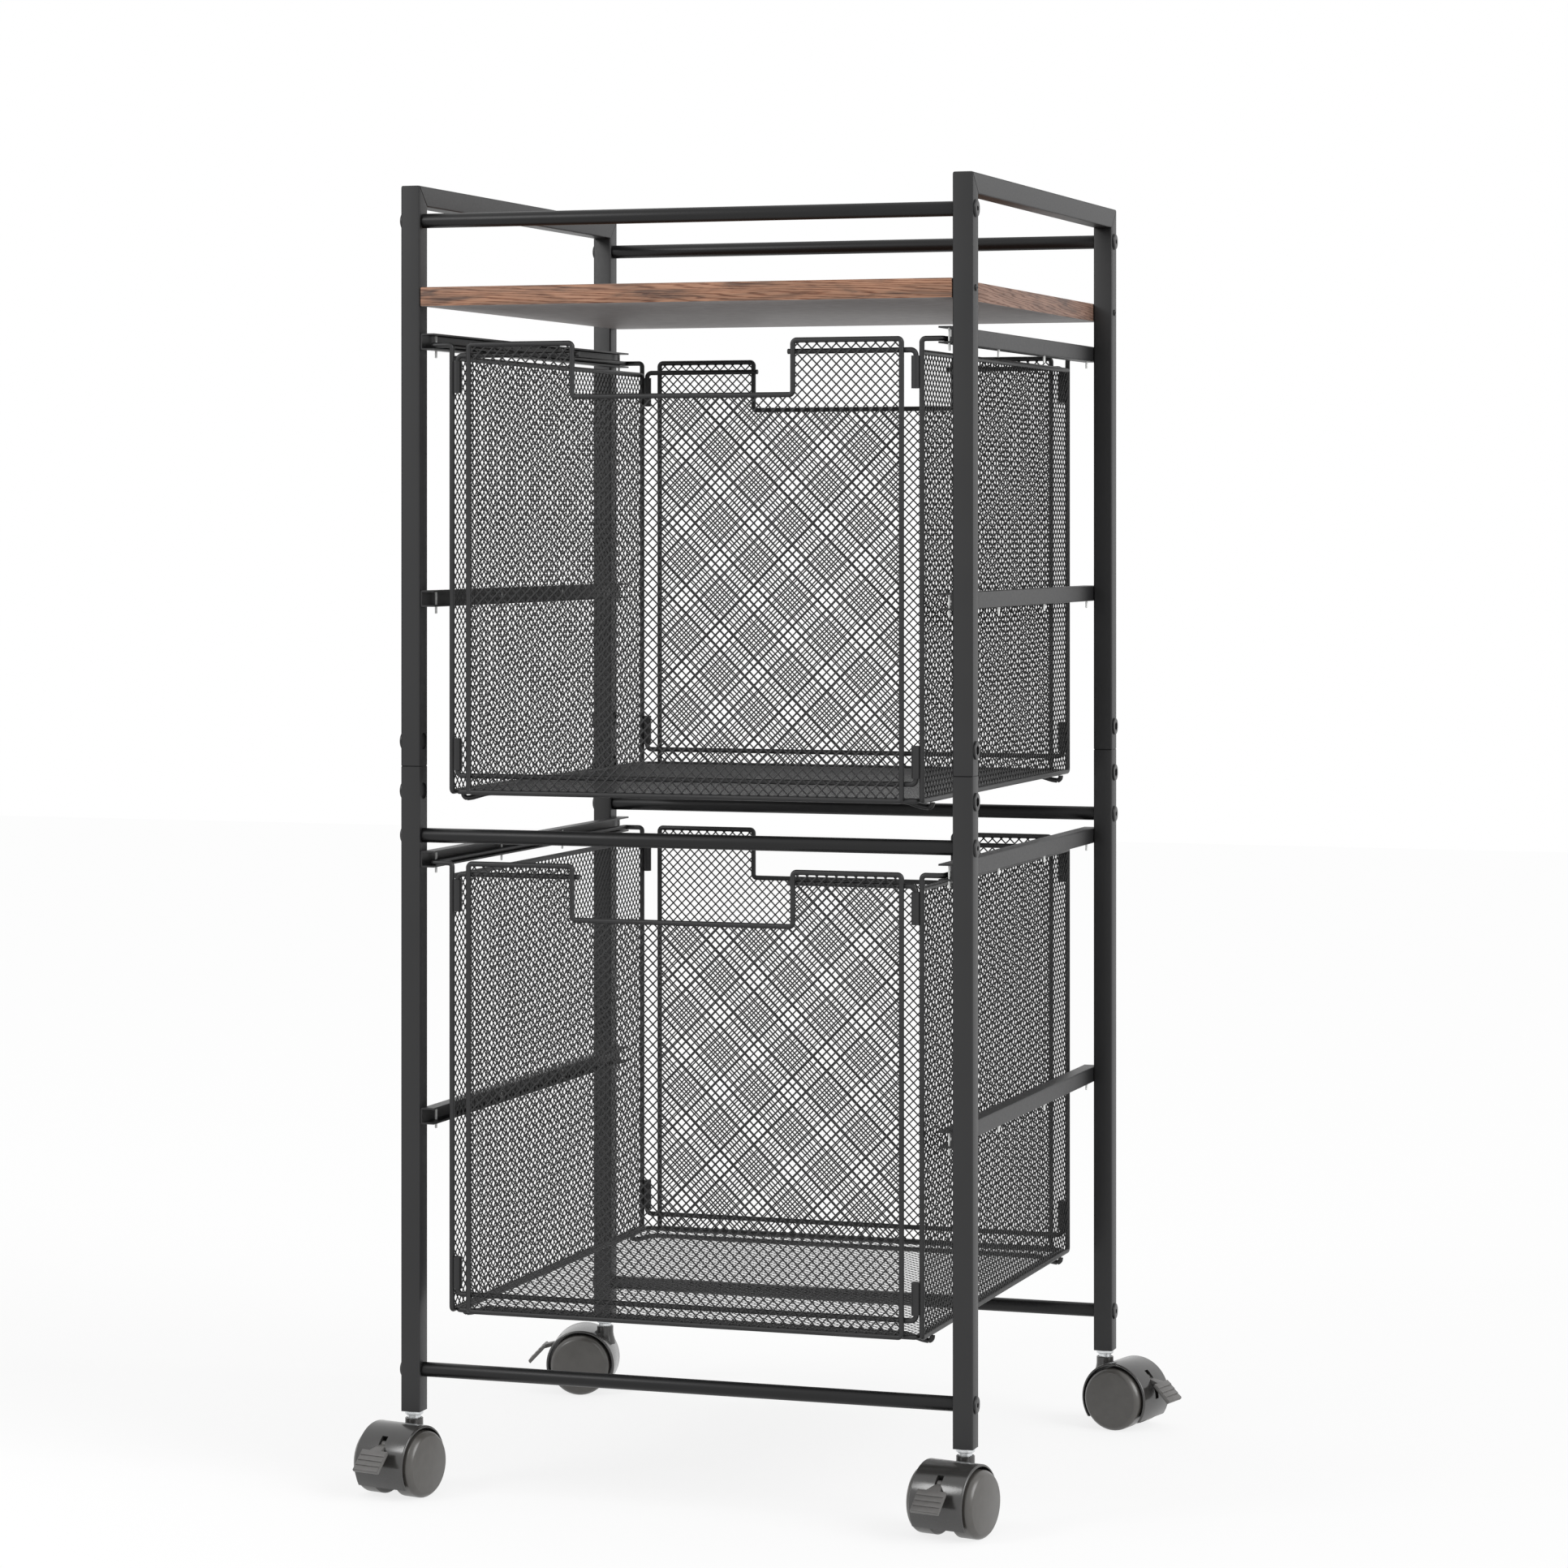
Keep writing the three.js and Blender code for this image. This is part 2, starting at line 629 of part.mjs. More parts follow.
function buildFrame() {
  const frame = new THREE.Group();
  for (const [side, x] of [["left", -postX], ["right", postX]]) {
    const arch = piece("side_frame_" + side, "steel", sideFrame());
    arch.position.x = x;
    frame.add(arch);
  }
  for (const post of posts) {
    const lower = squareTube(tubeSide, tubeWall, tubeChamfer, seamZ - footHeight);
    const tube = piece("lower_post_" + post.name, "steel", lower);
    tube.position.set(post.x, post.y, footHeight);
    const jointSide = boreSide - 2 * slipGap;
    const joint = piece("post_joint_" + post.name, "zinc", squareTube(jointSide, jointWall, 0, jointLength));
    joint.position.set(post.x, post.y, seamZ - jointLength / 2);
    const foot = piece("post_plug_" + post.name, "nylon", plug());
    foot.position.set(post.x, post.y, footHeight);
    const threaded = piece("caster_stem_" + post.name, "zinc", stem());
    threaded.position.set(post.x, post.y, 0);
    frame.add(tube, joint, foot, threaded);
  }
  for (const [level, z] of [["top", topRodZ], ["middle", middleRodZ], ["low", lowRodZ]]) {
    for (const [end, y] of [["front", -postY], ["rear", postY]]) {
      const rod = piece("cross_rod_" + level + "_" + end, "steel", crossRod());
      rod.position.set(0, y, z);
      frame.add(rod);
    }
  }
  const top = piece("top_board", "wood", board());
  top.position.z = boardZ;
  frame.add(top);
  for (const drawer of drawers) {
    for (const [use, drop] of [["drawer", 0], ["spare", spareRailDrop]]) {
      for (const [side, x, turn] of [["left", -innerX, 0], ["right", innerX, Math.PI]]) {
        const channel = piece(["rail", drawer.name, use, side].join("_"), "steel", rail());
        channel.position.set(x, 0, drawer.railZ - drop);
        channel.rotation.z = turn;
        frame.add(channel);
      }
    }
  }
  return frame;
}

function buildDrawer(name) {
  const drawer = new THREE.Group();
  const panels = [
    ["front", handlePanel(), 0], ["back", handlePanel(), Math.PI],
    ["left", sidePanel(), 0], ["right", sidePanel(), Math.PI], ["bottom", bottomPanel(), 0],
  ];
  for (const [place, geometry, turn] of panels) {
    const panel = piece(name + "_drawer_" + place, "steel", geometry);
    panel.rotation.z = turn;
    drawer.add(panel);
  }
  return drawer;
}

function buildCaster(name) {
  const caster = new THREE.Group();
  caster.add(piece("caster_hood_" + name, "hood", hood()));
  for (const [side, turn] of [["a", 0], ["b", Math.PI]]) {
    const roller = piece("caster_wheel_" + side + "_" + name, "wheel", wheel());
    roller.position.set(0, -trail, wheelRadius);
    roller.rotation.z = turn;
    caster.add(roller);
  }
  caster.add(piece("caster_brake_" + name, "hood", brake()));
  return caster;
}

const cart = new THREE.Group();
cart.add(buildFrame());
for (const drawer of drawers) {
  const panels = buildDrawer(drawer.name);
  panels.position.z = drawer.z;
  cart.add(panels);
}
for (const post of posts) {
  const caster = buildCaster(post.name);
  caster.position.set(post.x, post.y, 0);
  caster.rotation.z = THREE.MathUtils.degToRad(post.heading);
  cart.add(caster);
}

export default cart;
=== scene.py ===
import bpy
import math
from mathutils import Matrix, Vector


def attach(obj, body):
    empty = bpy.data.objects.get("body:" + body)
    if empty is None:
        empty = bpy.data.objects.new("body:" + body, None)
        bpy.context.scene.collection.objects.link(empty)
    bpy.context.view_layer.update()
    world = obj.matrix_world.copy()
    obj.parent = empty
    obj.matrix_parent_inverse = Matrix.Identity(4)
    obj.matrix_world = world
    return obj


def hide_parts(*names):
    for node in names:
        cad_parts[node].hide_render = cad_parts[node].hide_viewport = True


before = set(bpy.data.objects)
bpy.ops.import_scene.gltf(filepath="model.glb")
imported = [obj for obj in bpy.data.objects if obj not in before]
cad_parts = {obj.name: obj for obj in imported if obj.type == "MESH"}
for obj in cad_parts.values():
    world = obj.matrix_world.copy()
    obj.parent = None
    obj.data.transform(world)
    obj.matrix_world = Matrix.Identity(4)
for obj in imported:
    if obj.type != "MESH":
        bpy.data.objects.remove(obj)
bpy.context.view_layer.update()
mm = 0.001
print("frame loaded:", len(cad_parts), "nodes")


# selecting and moving

def clearPick():
    if bpy.context.mode != "OBJECT":
        bpy.ops.object.mode_set(mode="OBJECT")
    bpy.ops.object.select_all(action="DESELECT")


def pickOnly(*pieces):
    clearPick()
    for piece in pieces:
        piece.select_set(True)
    bpy.context.view_layer.objects.active = pieces[0]


def remove(*pieces):
    pickOnly(*pieces)
    bpy.ops.object.delete()


def settle(piece):  # place, turn and scale go into the mesh
    pickOnly(piece)
    bpy.ops.object.transform_apply(location=True, rotation=True, scale=True)
    return piece


def pickFaces(piece, test):  # leaves the piece in edit mode
    pickOnly(piece)
    bpy.ops.object.mode_set(mode="EDIT")
    bpy.ops.mesh.select_mode(type="FACE")
    bpy.ops.mesh.select_all(action="DESELECT")
    bpy.ops.object.mode_set(mode="OBJECT")
    for face in piece.data.polygons:
        face.select = test(face.center / mm, face.normal)
    bpy.ops.object.mode_set(mode="EDIT")


def pickEdges(piece, test):  # leaves the piece in edit mode
    pickOnly(piece)
    bpy.ops.object.mode_set(mode="EDIT")
    bpy.ops.mesh.select_mode(type="EDGE")
    bpy.ops.mesh.select_all(action="DESELECT")
    bpy.ops.object.mode_set(mode="OBJECT")
    points = [point.co / mm for point in piece.data.vertices]
    for edge in piece.data.edges:
        edge.select = test(points[edge.vertices[0]], points[edge.vertices[1]])
    bpy.ops.object.mode_set(mode="EDIT")


# shaping

def addBlock(low, high):
    clearPick()
    middle = [(a + b) / 2 * mm for a, b in zip(low, high)]
    bpy.ops.mesh.primitive_cube_add(size=1, location=middle)
    block = bpy.context.object
    block.scale = [(b - a) * mm for a, b in zip(low, high)]
    return settle(block)


def addRound(radius, start, end, sides=48):  # a round bar between two points
    clearPick()
    start, end = Vector(start) * mm, Vector(end) * mm
    run = end - start
    bpy.ops.mesh.primitive_cylinder_add(vertices=sides, radius=radius * mm, depth=run.length)
    bar = bpy.context.object
    bar.location = (start + end) / 2
    bar.rotation_euler = run.to_track_quat("Z", "Y").to_euler()
    return settle(bar)


def roundEdges(piece, test, width, segments=3):
    pickEdges(piece, test)
    bpy.ops.mesh.bevel(offset=width * mm, segments=segments, affect="EDGES")
    bpy.ops.object.mode_set(mode="OBJECT")


def cutFlat(piece, point, normal):  # removes what lies beyond a plane
    pickOnly(piece)
    bpy.ops.object.mode_set(mode="EDIT")
    bpy.ops.mesh.select_all(action="SELECT")
    bpy.ops.mesh.bisect(plane_co=Vector(point) * mm, plane_no=normal, use_fill=True, clear_outer=True)
    bpy.ops.object.mode_set(mode="OBJECT")


def carve(piece, tool, how="DIFFERENCE"):
    pickOnly(piece)
    change = piece.modifiers.new("carve", "BOOLEAN")
    change.operation = how
    change.solver = "EXACT"
    change.object = tool
    bpy.ops.object.modifier_apply(modifier="carve")
    remove(tool)


def repeat(piece, count, step):
    pickOnly(piece)
    row = piece.modifiers.new("row", "ARRAY")
    row.count = count
    row.use_relative_offset = False
    row.use_constant_offset = True
    row.constant_offset_displace = Vector(step) * mm
    bpy.ops.object.modifier_apply(modifier="row")


def hollowEnds(piece, test, wall, depth):  # leaves a rim round the picked end faces and sinks the rest
    pickFaces(piece, test)
    bpy.ops.mesh.inset(thickness=wall * mm, use_individual=True)
    bpy.ops.mesh.extrude_region_shrink_fatten(TRANSFORM_OT_shrink_fatten={"value": -depth * mm})
    bpy.ops.object.mode_set(mode="OBJECT")


def joinUp(*pieces):
    pickOnly(*pieces)
    bpy.ops.object.join()
    return pieces[0]


def copyOf(piece, turn=0, move=(0, 0, 0)):
    pickOnly(piece)
    bpy.ops.object.duplicate()
    twin = bpy.context.object
    twin.rotation_euler.z = math.radians(turn)
    twin.location = Vector(move) * mm
    return settle(twin)


def addProfile(corners):  # a line of edges through the corners
    clearPick()
    points = [Vector(corner) * mm for corner in corners]
    bpy.ops.mesh.primitive_plane_add(size=mm)
    line = bpy.context.object
    bpy.ops.object.mode_set(mode="EDIT")
    bpy.ops.mesh.select_mode(type="VERT")
    bpy.ops.mesh.merge(type="CENTER")
    bpy.ops.transform.translate(value=points[0])
    for before, after in zip(points, points[1:]):
        bpy.ops.mesh.extrude_vertices_move(TRANSFORM_OT_translate={"value": after - before})
    bpy.ops.object.mode_set(mode="OBJECT")
    return line


def spinUp(corners, centre, axis, steps):  # turns a profile round an axis
    piece = addProfile(corners)
    bpy.ops.object.mode_set(mode="EDIT")
    bpy.ops.mesh.select_all(action="SELECT")
    bpy.ops.mesh.spin(steps=steps, angle=math.tau, center=Vector(centre) * mm, axis=axis)
    bpy.ops.mesh.select_all(action="SELECT")
    bpy.ops.mesh.remove_doubles(threshold=0.01 * mm)
    bpy.ops.mesh.normals_make_consistent(inside=False)
    bpy.ops.object.mode_set(mode="OBJECT")
    return piece


def bendWire(corners, diameter, bend, closed=False):
    corners = [Vector(corner) for corner in corners]
    if closed:  # the ends meet on the first edge
        first, second = corners[:2]
        corners = [first.lerp(second, 0.55)] + corners[1:] + [first, first.lerp(second, 0.45)]
    wire = addProfile(corners)
    ends = corners[0] * mm, corners[-1] * mm
    for point in wire.data.vertices:
        point.select = min((point.co - end).length for end in ends) > 0.01 * mm
    bpy.ops.object.mode_set(mode="EDIT")
    bpy.ops.mesh.bevel(offset=bend * mm, segments=6, affect="VERTICES")
    bpy.ops.object.mode_set(mode="OBJECT")
    bpy.ops.object.convert(target="CURVE")
    curve = bpy.context.object.data
    curve.splines[0].use_cyclic_u = closed
    curve.bevel_depth = diameter / 2 * mm
    curve.bevel_resolution = 4
    curve.use_fill_caps = not closed
    bpy.ops.object.convert(target="MESH")
    wire = bpy.context.object
    bpy.ops.object.mode_set(mode="EDIT")
    bpy.ops.mesh.select_all(action="SELECT")
    bpy.ops.mesh.remove_doubles(threshold=0.005 * mm)
    bpy.ops.mesh.normals_make_consistent(inside=False)
    bpy.ops.object.mode_set(mode="OBJECT")
    return wire


def dress(piece, name, body, finish, nodes=()):
    piece.name = name
    piece.data.name = name
    piece.data.materials.clear()
    piece.data.materials.append(finish)
    pickOnly(piece)
    bpy.ops.object.shade_smooth_by_angle(angle=math.radians(32))
    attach(piece, body)
    if nodes:
        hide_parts(*nodes)
    return piece


# finishes

def toLinear(hexText):
    parts = [int(hexText[i:i + 2], 16) / 255 for i in (1, 3, 5)]
    return [part / 12.92 if part <= 0.04045 else ((part + 0.055) / 1.055) ** 2.4 for part in parts] + [1]


def addNode(tree, kind, settings=None, links=None):
    node = tree.nodes.new(kind)
    for key, value in (settings or {}).items():
        if key == "stops":
            band = node.color_ramp.elements
            band[0].position, band[1].position = value[0][0], value[-1][0]
            for stop in value[1:-1]:
                band.new(stop[0])
            for element, stop in zip(band, value):
                element.color = toLinear(stop[1])
        elif isinstance(key, int) or key in node.inputs:
            node.inputs[key].default_value = value
        else:
            setattr(node, key, value)
    for key, source in (links or {}).items():
        tree.links.new(source, node.inputs[key])
    return node


def startFinish(name):
    finish = bpy.data.materials.new(name)
    finish.use_nodes = True
    finish.node_tree.nodes.clear()
    return finish, finish.node_tree


def makeFinish(name, look):  # clouds of two tones, and a fine grit that moves the gloss and the surface
    finish, tree = startFinish(name)
    place = addNode(tree, "ShaderNodeTexCoord").outputs["Object"]
    cloud = addNode(tree, "ShaderNodeTexNoise", {"Scale": 1 / (look["cloud"] * mm), "Detail": 3},
                    {"Vector": place})
    grit = addNode(tree, "ShaderNodeTexNoise", {"Scale": 1 / (look["grit"] * mm), "Detail": 2},
                   {"Vector": place})
    tone = addNode(tree, "ShaderNodeValToRGB", {"stops": [(0.3, look["dark"]), (0.7, look["light"])]},
                   {"Fac": cloud.outputs["Fac"]})
    gloss = addNode(tree, "ShaderNodeMapRange", {"To Min": look["rough"][0], "To Max": look["rough"][1]},
                    {"Value": grit.outputs["Fac"]})
    relief = addNode(tree, "ShaderNodeBump", {"Distance": look["relief"] * mm, "Strength": 0.25},
                     {"Height": grit.outputs["Fac"]})
    shader = addNode(tree, "ShaderNodeBsdfPrincipled", look["shader"], {
        "Base Color": tone.outputs["Color"], "Roughness": gloss.outputs[0], "Normal": relief.outputs[0],
    })
    addNode(tree, "ShaderNodeOutputMaterial", links={"Surface": shader.outputs[0]})
    return finish


wood = {"patch": (55, 14, 6), "lines": (60, 11, 3), "pores": (8, 0.9, 0.5)}  # mm along, across and through


def makeWood(name, order, tones):  # order: which of those sizes x, y and z take
    finish, tree = startFinish(name)
    place = addNode(tree, "ShaderNodeTexCoord").outputs["Object"]
    patch, lines, pores = [
        addNode(tree, "ShaderNodeMapping", {"Scale": [1 / (sizes[pick] * mm) for pick in order]},
                {"Vector": place}).outputs[0]
        for sizes in wood.values()
    ]
    patch = addNode(tree, "ShaderNodeTexNoise", {
        "Detail": 5, "Roughness": 0.6, "Distortion": 0.8, "Scale": 1,
    }, {"Vector": patch})
    lines = addNode(tree, "ShaderNodeTexWave", {
        "bands_direction": "DIAGONAL", "Scale": 1, "Distortion": 10, "Detail": 3, "Detail Scale": 0.7,
    }, {"Vector": lines})
    pores = addNode(tree, "ShaderNodeTexNoise", {"Detail": 2, "Scale": 1}, {"Vector": pores})
    base = addNode(tree, "ShaderNodeValToRGB", {
        "stops": list(zip((0.34, 0.46, 0.58, 0.72), tones)),
    }, {"Fac": patch.outputs["Fac"]})
    blend = addNode(tree, "ShaderNodeMath", {"operation": "MULTIPLY_ADD", 1: 1.1},
                    {0: pores.outputs["Fac"], 2: lines.outputs["Fac"]})
    veins = addNode(tree, "ShaderNodeValToRGB", {
        "stops": [(0.45, "#a08478"), (0.7, "#d9cdc6"), (1, "#ffffff")],
    }, {"Fac": blend.outputs[0]})
    tone = addNode(tree, "ShaderNodeMix", {"data_type": "RGBA", "blend_type": "MULTIPLY", 0: 1},
                   {6: base.outputs["Color"], 7: veins.outputs["Color"]})
    gloss = addNode(tree, "ShaderNodeMapRange", {"To Min": 0.5, "To Max": 0.65},
                    {"Value": pores.outputs["Fac"]})
    relief = addNode(tree, "ShaderNodeBump", {"Distance": 0.05 * mm, "Strength": 0.3},
                     {"Height": blend.outputs[0]})
    shader = addNode(tree, "ShaderNodeBsdfPrincipled", {"IOR": 1.45}, {
        "Base Color": tone.outputs[2], "Roughness": gloss.outputs[0], "Normal": relief.outputs[0],
    })
    addNode(tree, "ShaderNodeOutputMaterial", links={"Surface": shader.outputs[0]})
    return finish


# black powder coat on steel: semi-matt, with the slight orange peel of a baked coat
powderCoat = makeFinish("blackPowderCoat", {
    "dark": "#151516", "light": "#1a1a1b", "cloud": 60, "grit": 1.5, "relief": 0.05, "rough": (0.38, 0.5),
    "shader": {"IOR": 1.5},
})
# black coat on the rods: the tubes' black coat made darker as painted shade from the rods' darker
# surroundings, and a little smoother
rodShadedCoat = makeFinish("blackCoatRodShade", {
    "dark": "#0c0c0d", "light": "#101011", "cloud": 40, "grit": 1.5, "relief": 0.03, "rough": (0.34, 0.44),
    "shader": {"IOR": 1.4},
})
# black oxide on the bolts and screws: near black, faintly oily
blackOxide = makeFinish("blackOxideSteel", {
    "dark": "#0a0a0b", "light": "#0f0f10", "cloud": 3, "grit": 0.6, "relief": 0.01, "rough": (0.3, 0.4),
    "shader": {"IOR": 1.45},
})
# printed wood grain on particle board: reddish brown, satin, dark lines and patches along each face
woodFace = makeWood("redBrownWoodGrain", (0, 1, 2), ("#614b40", "#8d6a55", "#a2785f", "#ac846c"))
# edge band, grain along Y: its greyer tones are partly its own colour and partly a painted sheen, the grey
# reflection along the edge
woodEdgeSheen = makeWood("redBrownEdgeBand", (1, 0, 2), ("#5f4d45", "#7b6154", "#896c5d", "#917567"))  # greyer
# melamine paper on the underside: grey, faintly mottled, satin
backPaper = makeFinish("greyMelamineBack", {
    "dark": "#7a7472", "light": "#8a8381", "cloud": 9, "grit": 1.2, "relief": 0.03, "rough": (0.45, 0.6),
    "shader": {"IOR": 1.45},
})
# zinc plate: bright metal, a little cloudy
zincPlate = makeFinish("brightZincPlate", {
    "dark": "#cfd2d4", "light": "#e4e6e7", "cloud": 3, "grit": 0.6, "relief": 0.01, "rough": (0.22, 0.34),
    "shader": {"Metallic": 1},
})
# moulded nylon of the hoods: near black with a deep gloss, so its curves show as bright and dark bands
hoodNylon = makeFinish("glossBlackNylon", {
    "dark": "#2c2b2a", "light": "#31302f", "cloud": 8, "grit": 0.8, "relief": 0.02, "rough": (0.16, 0.24),
    "shader": {"IOR": 1.7},
})
# moulded nylon of the pedals: the same grey, scuffed to a satin
pedalNylon = makeFinish("satinGreyNylon", {
    "dark": "#5a5957", "light": "#615f5e", "cloud": 5, "grit": 0.8, "relief": 0.03, "rough": (0.4, 0.5),
    "shader": {"IOR": 1.53},
})
# moulded nylon of the wheels: warm grey, soft gloss
wheelNylon = makeFinish("warmGreyNylon", {
    "dark": "#474542", "light": "#4d4b48", "cloud": 6, "grit": 0.8, "relief": 0.02, "rough": (0.26, 0.34),
    "shader": {"IOR": 1.6},
})
# white nylon of the guide pins: milky, soft gloss
whiteNylon = makeFinish("whiteNylon", {
    "dark": "#e6e7e5", "light": "#f2f3f1", "cloud": 2, "grit": 0.6, "relief": 0.01, "rough": (0.35, 0.45),
    "shader": {"IOR": 1.53},
})
# black nylon of the plugs in the feet and the joints in the seams: dull
plugNylon = makeFinish("blackNylon", {
    "dark": "#161617", "light": "#1c1c1d", "cloud": 2, "grit": 0.8, "relief": 0.03, "rough": (0.5, 0.65),
    "shader": {"IOR": 1.53},
})
print("finishes ready")


# frame

tube = {
    "x": 197, "y": 184.5, "side": 14, "wall": 1.2, "round": 1.1, "foot": 54.5, "seam": 497, "top": 895,
    "groove": 0.45,  # at the mitres and seams
    "hollow": 30,  # depth of the open foot
    "boltRise": 17, "nutHole": 5.6, "nutDepth": 5,
}
posts = {
    "front_left": (-1, -1), "front_right": (1, -1), "rear_left": (-1, 1), "rear_right": (1, 1),
}
halfTurn = {1: 0, -1: 180}  # what is made for the right side is turned for the left
half = tube["side"] / 2
reach = tube["y"] + half


def addTube(low, high):
    bar = addBlock(low, high)
    spans = [b - a for a, b in zip(low, high)]
    run = spans.index(max(spans))
    roundEdges(bar, lambda a, b: abs(a[run] - b[run]) > tube["side"], tube["round"])
    return bar


def sinkNut(bar, y, height):  # hole in the inner face, over the nut of a joint bolt
    start = (-half - 1, y, height)
    carve(bar, addRound(tube["nutHole"], start, (tube["nutDepth"] - half, y, height), sides=40))


def onCut(point):  # in a mitre or a seam
    return abs(reach - abs(point.y) + point.z - tube["top"]) < 0.01 or abs(point.z - tube["seam"]) < 0.01


bars = [addTube((-half, -reach, tube["top"] - 2 * half), (half, reach, tube["top"]))]
for end in (-1, 1):
    corner = (0, end * reach, tube["top"])
    y = end * tube["y"]
    post = addTube((-half, y - half, tube["seam"]), (half, y + half, tube["top"]))
    cutFlat(post, corner, (0, -end, 1))
    cutFlat(bars[0], corner, (0, end, -1))
    bars.append(post)
for bar in bars:
    roundEdges(bar, lambda a, b: onCut(a) and onCut(b), tube["groove"], segments=1)
for post, end in zip(bars[1:], (-1, 1)):
    sinkNut(post, end * tube["y"], tube["seam"] + tube["boltRise"])
arch = joinUp(*bars)
for name, side in (("left", -1), ("right", 1)):
    part = copyOf(arch, halfTurn[side], (side * tube["x"], 0, 0))
    dress(part, "tube_arch_" + name, "frame", powderCoat, ["side_frame_" + name])

post = addTube((-half, -half, tube["foot"]), (half, half, tube["seam"]))
roundEdges(post, lambda a, b: onCut(a) and onCut(b), tube["groove"], segments=1)
hollowEnds(post, lambda centre, normal: normal.z < -0.9, tube["wall"], tube["hollow"])
sinkNut(post, 0, tube["seam"] - tube["boltRise"])
for name, (side, end) in posts.items():
    part = copyOf(post, halfTurn[side], (side * tube["x"], end * tube["y"], 0))
    dress(part, "tube_post_" + name, "frame", powderCoat, ["lower_post_" + name])
remove(arch, post)
print("tubes done")

rod = {"radius": 5, "reach": 190, "chamfer": 0.5, "heights": {"top": 871, "middle": 449.5, "low": 83}}
bar = addRound(rod["radius"], (-rod["reach"], 0, 0), (rod["reach"], 0, 0))
roundEdges(bar, lambda a, b: abs(a.x - b.x) < 0.01, rod["chamfer"], segments=2)
for level, z in rod["heights"].items():
    for end, y in (("front", -tube["y"]), ("rear", tube["y"])):
        label = level + "_" + end
        part = copyOf(bar, 0, (0, y, z))
        dress(part, "rod_" + label, "frame", rodShadedCoat, ["cross_rod_" + label])
remove(bar)

# button heads with a hex socket, each made on the YZ plane and pointing along X
bolts = {
    "rod_bolt": {"radius": 5.9, "height": 1.5, "crown": 1.1, "socket": 1.9, "depth": 1.2},
    "joint_bolt": {"radius": 6.1, "height": 1.4, "crown": 0.6, "socket": 3.4, "depth": 1.2},
    "board_screw": {"radius": 2.3, "height": 1.1, "crown": 0.8, "socket": 0.9, "depth": 0.7},
}
sunk = 0.2  # how far a head goes into its post
screwHeight = 818.7  # of the screws into the ends of the board
heads = {}
for label, bolt in bolts.items():
    head = addRound(bolt["radius"], (-sunk, 0, 0), (bolt["height"], 0, 0), sides=40)
    roundEdges(head, lambda a, b: min(a.x, b.x) > bolt["height"] - 0.01, bolt["crown"], segments=5)
    bottom, beyond = bolt["height"] - bolt["depth"], bolt["height"] + 1
    carve(head, addRound(bolt["socket"], (bottom, 0, 0), (beyond, 0, 0), sides=6))
    heads[label] = head
for name, (side, end) in posts.items():
    spots = [("rod_bolt", level, z) for level, z in rod["heights"].items()]
    spots.append(("joint_bolt", "over", tube["seam"] + tube["boltRise"]))
    spots.append(("joint_bolt", "under", tube["seam"] - tube["boltRise"]))
    spots.append(("board_screw", "side", screwHeight))
    for label, place, z in spots:
        spot = (side * (tube["x"] + half), end * tube["y"], z)
        head = copyOf(heads[label], halfTurn[side], spot)
        dress(head, label + "_" + place + "_" + name, "frame", blackOxide)
remove(*heads.values())

board = {"low": (-189.7, -191.5, 812.1), "high": (189.7, 191.5, 825.3), "round": 0.9}
panel = addBlock(board["low"], board["high"])
roundEdges(panel, lambda a, b: True, board["round"], segments=2)
dress(panel, "board", "frame", woodFace, ["top_board"])
panel.data.materials.append(woodEdgeSheen)
panel.data.materials.append(backPaper)
for face in panel.data.polygons:
    if abs(face.normal.x) > 0.7:
        face.material_index = 1
    elif face.normal.z < -0.9:
        face.material_index = 2

rail = {
    "web": 190, "depth": 10, "height": 11.3, "sheet": 1.2, "bend": 1.4, "reach": 190.1,
    "bottoms": {"upper_drawer": 782.3, "upper_spare": 606.3, "lower_drawer": 427.8, "lower_spare": 251.8},
}
inner = rail["depth"] - rail["web"]
channel = addBlock((-rail["web"], -rail["reach"], 0), (inner, rail["reach"], rail["height"]))
pickFaces(channel, lambda centre, normal: normal.x > 0.9 or abs(normal.y) > 0.9)
bpy.ops.mesh.delete(type="FACE")
back = 0.01 - rail["web"]
roundEdges(channel, lambda a, b: max(a.x, b.x) < back and abs(a.y - b.y) > 1, rail["bend"], segments=4)
sheet = channel.modifiers.new("sheet", "SOLIDIFY")
sheet.thickness = rail["sheet"] * mm
sheet.offset = -1
bpy.ops.object.modifier_apply(modifier="sheet")

pin = {"x": -186.45, "radius": 0.85, "tip": 0.4, "drop": 5, "first": 186.1, "last": -171.1, "count": 4}
foot = (pin["x"], pin["first"], -pin["drop"])
guides = addRound(pin["radius"], foot, (pin["x"], pin["first"], rail["height"]), sides=24)
roundEdges(guides, lambda a, b: abs(a.z - b.z) < 0.01, pin["tip"])
repeat(guides, pin["count"], (0, (pin["last"] - pin["first"]) / (pin["count"] - 1), 0))
for use, z in rail["bottoms"].items():
    for name, turn in (("left", 0), ("right", 180)):  # made for the left side
        label = use + "_" + name
        part = copyOf(channel, turn, (0, 0, z))
        dress(part, "channel_" + label, "frame", powderCoat, ["rail_" + label])
        dress(copyOf(guides, turn, (0, 0, z)), "guide_pins_" + label, "frame", whiteNylon)
remove(channel, guides)
print("rods, bolts, board and rails done")


# drawers, made once over z = 0 and copied

drawer = {
    "floors": {"upper": 480.0, "lower": 125.5}, "top": 305.6, "wire": 3.6, "bend": 2.6,
    "sideX": 167.8, "runnerX": 182.3, "sideY": 187.0, "panelY": 189.7, "sideMeshTop": 296.6,
}
net = {
    "pitch": 6.83,  # from corner to corner of a diamond
    "strand": 1.05, "round": 0.9, "flat": 0.3,  # strands of the upright panels and of the bottoms
    "apart": 0.45,  # of the thickness, from the middle to each layer
    "clear": 9,
}


